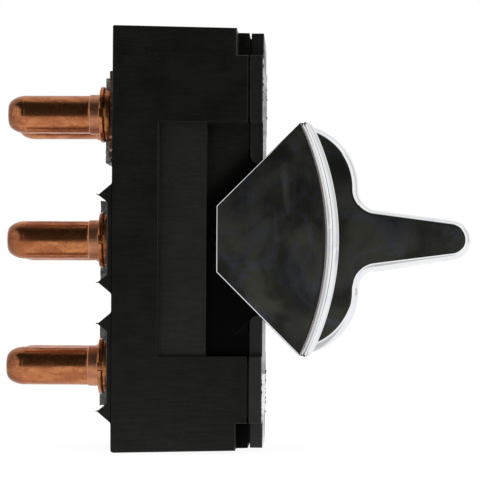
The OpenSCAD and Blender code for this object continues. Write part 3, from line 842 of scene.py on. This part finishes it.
def front_level(paint):
    """The dark camera side: darker high up, cloudy, with a few pale upright streaks and white ends."""
    dark = paint.ramp(paint.axis("Z"), 26, -20, DARK_LOW, DARK_HIGH)
    cloud = paint.span(paint.noise(PATCH * 0.9, 5, 0.65, 0.8), 0.38, 0.62, 0.6, 1.45)
    streaks = paint.span(paint.noise(STREAK, 2, place=paint.stretched(z=9)), 0.55, 0.7)
    here = paint.math("MULTIPLY", inside(paint, "X", 8, 26, 5), inside(paint, "Z", 4, 28, 6))
    cloud = paint.math("ADD", cloud, paint.math("MULTIPLY", contour(paint), 0.30))
    dark = paint.math("ADD", paint.math("MULTIPLY", dark, cloud),
                      paint.math("MULTIPLY", paint.math("MULTIPLY", streaks, here), 0.02))
    return paint.math("ADD", dark, white_ends(paint))


def over_level(paint):
    """Overhead: dark over the camera, then grey and white past a slanting edge, nearer over the lever."""
    place = paint.math("ADD", paint.axis("Y"), paint.axis("X"))
    grey = paint.ramp(place, OVER_SLANT - 14, OVER_SLANT, DARK_LOW, OVER_GREY)
    white = paint.ramp(place, OVER_SLANT, OVER_SLANT + 61, 0.0, WHITE - OVER_GREY)
    return paint.math("MAXIMUM", paint.math("ADD", grey, white), white_ends(paint))


def floor_level(paint):
    """The floor: dark near the camera, bright in the middle, a shadow beside the object, dim far aside."""
    across, along = paint.axis("Y"), paint.math("SUBTRACT", paint.axis("X"), LEVER_X * MM)
    near = paint.ramp(across, FLOOR_DARK, FLOOR_BRIGHT, DARK_HIGH, FLOOR_MID)
    shadow = paint.band(across, (FLOOR_DIP - 26, FLOOR_DIP - 8), (FLOOR_DIP, FLOOR_DIP + 50))
    shadow = paint.math("MULTIPLY", shadow, inside(paint, "X", -90, 110, 60))
    level = paint.math("SUBTRACT", near, paint.math("MULTIPLY", shadow, 0.42))
    # the dark part ends where the front card does as seen from the lever, so no step shows in the chrome
    aside = paint.math("MULTIPLY", along, -CARD_Y * MM)
    seen = paint.math("ADD", paint.math("DIVIDE", aside, paint.math("MINIMUM", across, -0.001)), LEVER_X * MM)
    past_end = paint.math("SUBTRACT", 1.0, card_dark(paint, seen))
    level = paint.math("MAXIMUM", level, paint.math("MULTIPLY", past_end, FLOOR_MID))
    # far to the sides it takes the tent's own level for that direction
    reach = paint.math("ABSOLUTE", along)
    slant = paint.math("ABSOLUTE", paint.math("DIVIDE", across, paint.math("MAXIMUM", reach, 0.001)))
    side = paint.span(slant, 0.06, 0.5, SIDE_LEVEL, 1.0)
    far = paint.ramp(reach, 60, 380)
    level = paint.math("ADD", paint.math("MULTIPLY", level, paint.math("SUBTRACT", 1.0, far)),
                       paint.math("MULTIPLY", side, far))
    return paint.math("MULTIPLY", level, paint.ramp(across, 60, 500, 1.0, 0.84))


def far_level(paint):
    """Behind the object: a narrow uneven grey strip that the plate's polished edge shows."""
    return paint.span(paint.noise(7.0, 3, 0.6, place=paint.stretched(x=4)), 0.35, 0.62, 0.20, 0.58)


TINTS = ((1.0, 1.0, 0.79), (0.87, 0.94, 1.12))
FRONT = glowing("front_card", front_level, TINTS)
OVER = glowing("over_card", over_level)
FLOOR_GLOW = glowing("floor_card", floor_level)
card("card_front", upright(CARD_X0, CARD_X1, -CARD_Y, CARD_FOOT, CARD_TOP), FRONT)
card("card_over", level_at(CARD_TOP, CARD_X0, CARD_X1, -CARD_Y, OVER_END), OVER)
card("card_floor", level_at(FLOOR_Z + 0.02, -FLOOR_END, FLOOR_END, -CARD_Y, FLOOR_END), FLOOR_GLOW)
card("card_far", upright(2, 25, CARD_Y, -48, 62), glowing("far_card", far_level))

floor = make_object("floor", level_at(FLOOR_Z, -FLOOR_END, FLOOR_END, -FLOOR_END, FLOOR_END), [(0, 1, 2, 3)])
floor_paint = bpy.data.materials.new("floor")
floor_paint.use_nodes = True
floor_shader = floor_paint.node_tree.nodes["Principled BSDF"]
floor_shader.inputs["Base Color"].default_value = (0.1, 0.1, 0.1, 1)
floor_shader.inputs["Roughness"].default_value = 0.9
floor_shader.inputs["Specular IOR Level"].default_value = 0.0
floor_shader.inputs["Emission Color"].default_value = (1, 1, 1, 1)
floor_shader.inputs["Emission Strength"].default_value = 0.94
floor.data.materials.append(floor_paint)

world = bpy.data.worlds.new("tent")
world.use_nodes = True
sky = world.node_tree
ahead = sky.nodes.new("ShaderNodeSeparateXYZ")
sky.links.new(sky.nodes.new("ShaderNodeTexCoord").outputs["Generated"], ahead.inputs[0])
ramp = sky.nodes.new("ShaderNodeValToRGB")
ramp.color_ramp.interpolation = "B_SPLINE"
# brightness of the tent, from behind the camera (0) past the side walls (0.5) to behind the object (1)
TENT = ((0.0, 0.99), (0.30, 0.97), (0.42, 0.72), (0.50, 0.60), (0.60, 0.80), (0.74, 1.0), (1.0, 1.0))
for place, level in TENT[1:-1]:
    ramp.color_ramp.elements.new(place).color = (level, level, level, 1)
for end in (0, -1):
    level = TENT[end][1]
    ramp.color_ramp.elements[end].color = (level, level, level, 1)
half_way = sky.nodes.new("ShaderNodeMapRange")
half_way.inputs["From Min"].default_value = -1
sky.links.new(ahead.outputs["Y"], half_way.inputs["Value"])
sky.links.new(half_way.outputs["Result"], ramp.inputs["Fac"])
sky.links.new(ramp.outputs["Color"], sky.nodes["Background"].inputs["Color"])
sky.nodes["Background"].inputs["Strength"].default_value = WHITE
bpy.context.scene.world = world
bpy.context.scene.view_settings.view_transform = "Standard"

camera_data = bpy.data.cameras.new("camera")
camera_data.sensor_width = 36
camera_data.lens = 172.8
camera_data.clip_start = 0.01
camera_data.clip_end = 20
camera = bpy.data.objects.new("camera", camera_data)
bpy.context.scene.collection.objects.link(camera)
eye, aim = Vector((19.5, -236.5, -6.3)) * MM, Vector((12.65, -10.5, -0.11)) * MM
ROLL = math.radians(0.27)  # the switch stands a little askew
camera.location = eye
camera.rotation_euler = ((aim - eye).to_track_quat("-Z", "Y") @ Quaternion((0, 0, 1), ROLL)).to_euler()
bpy.context.scene.camera = camera

bpy.context.view_layer.update()
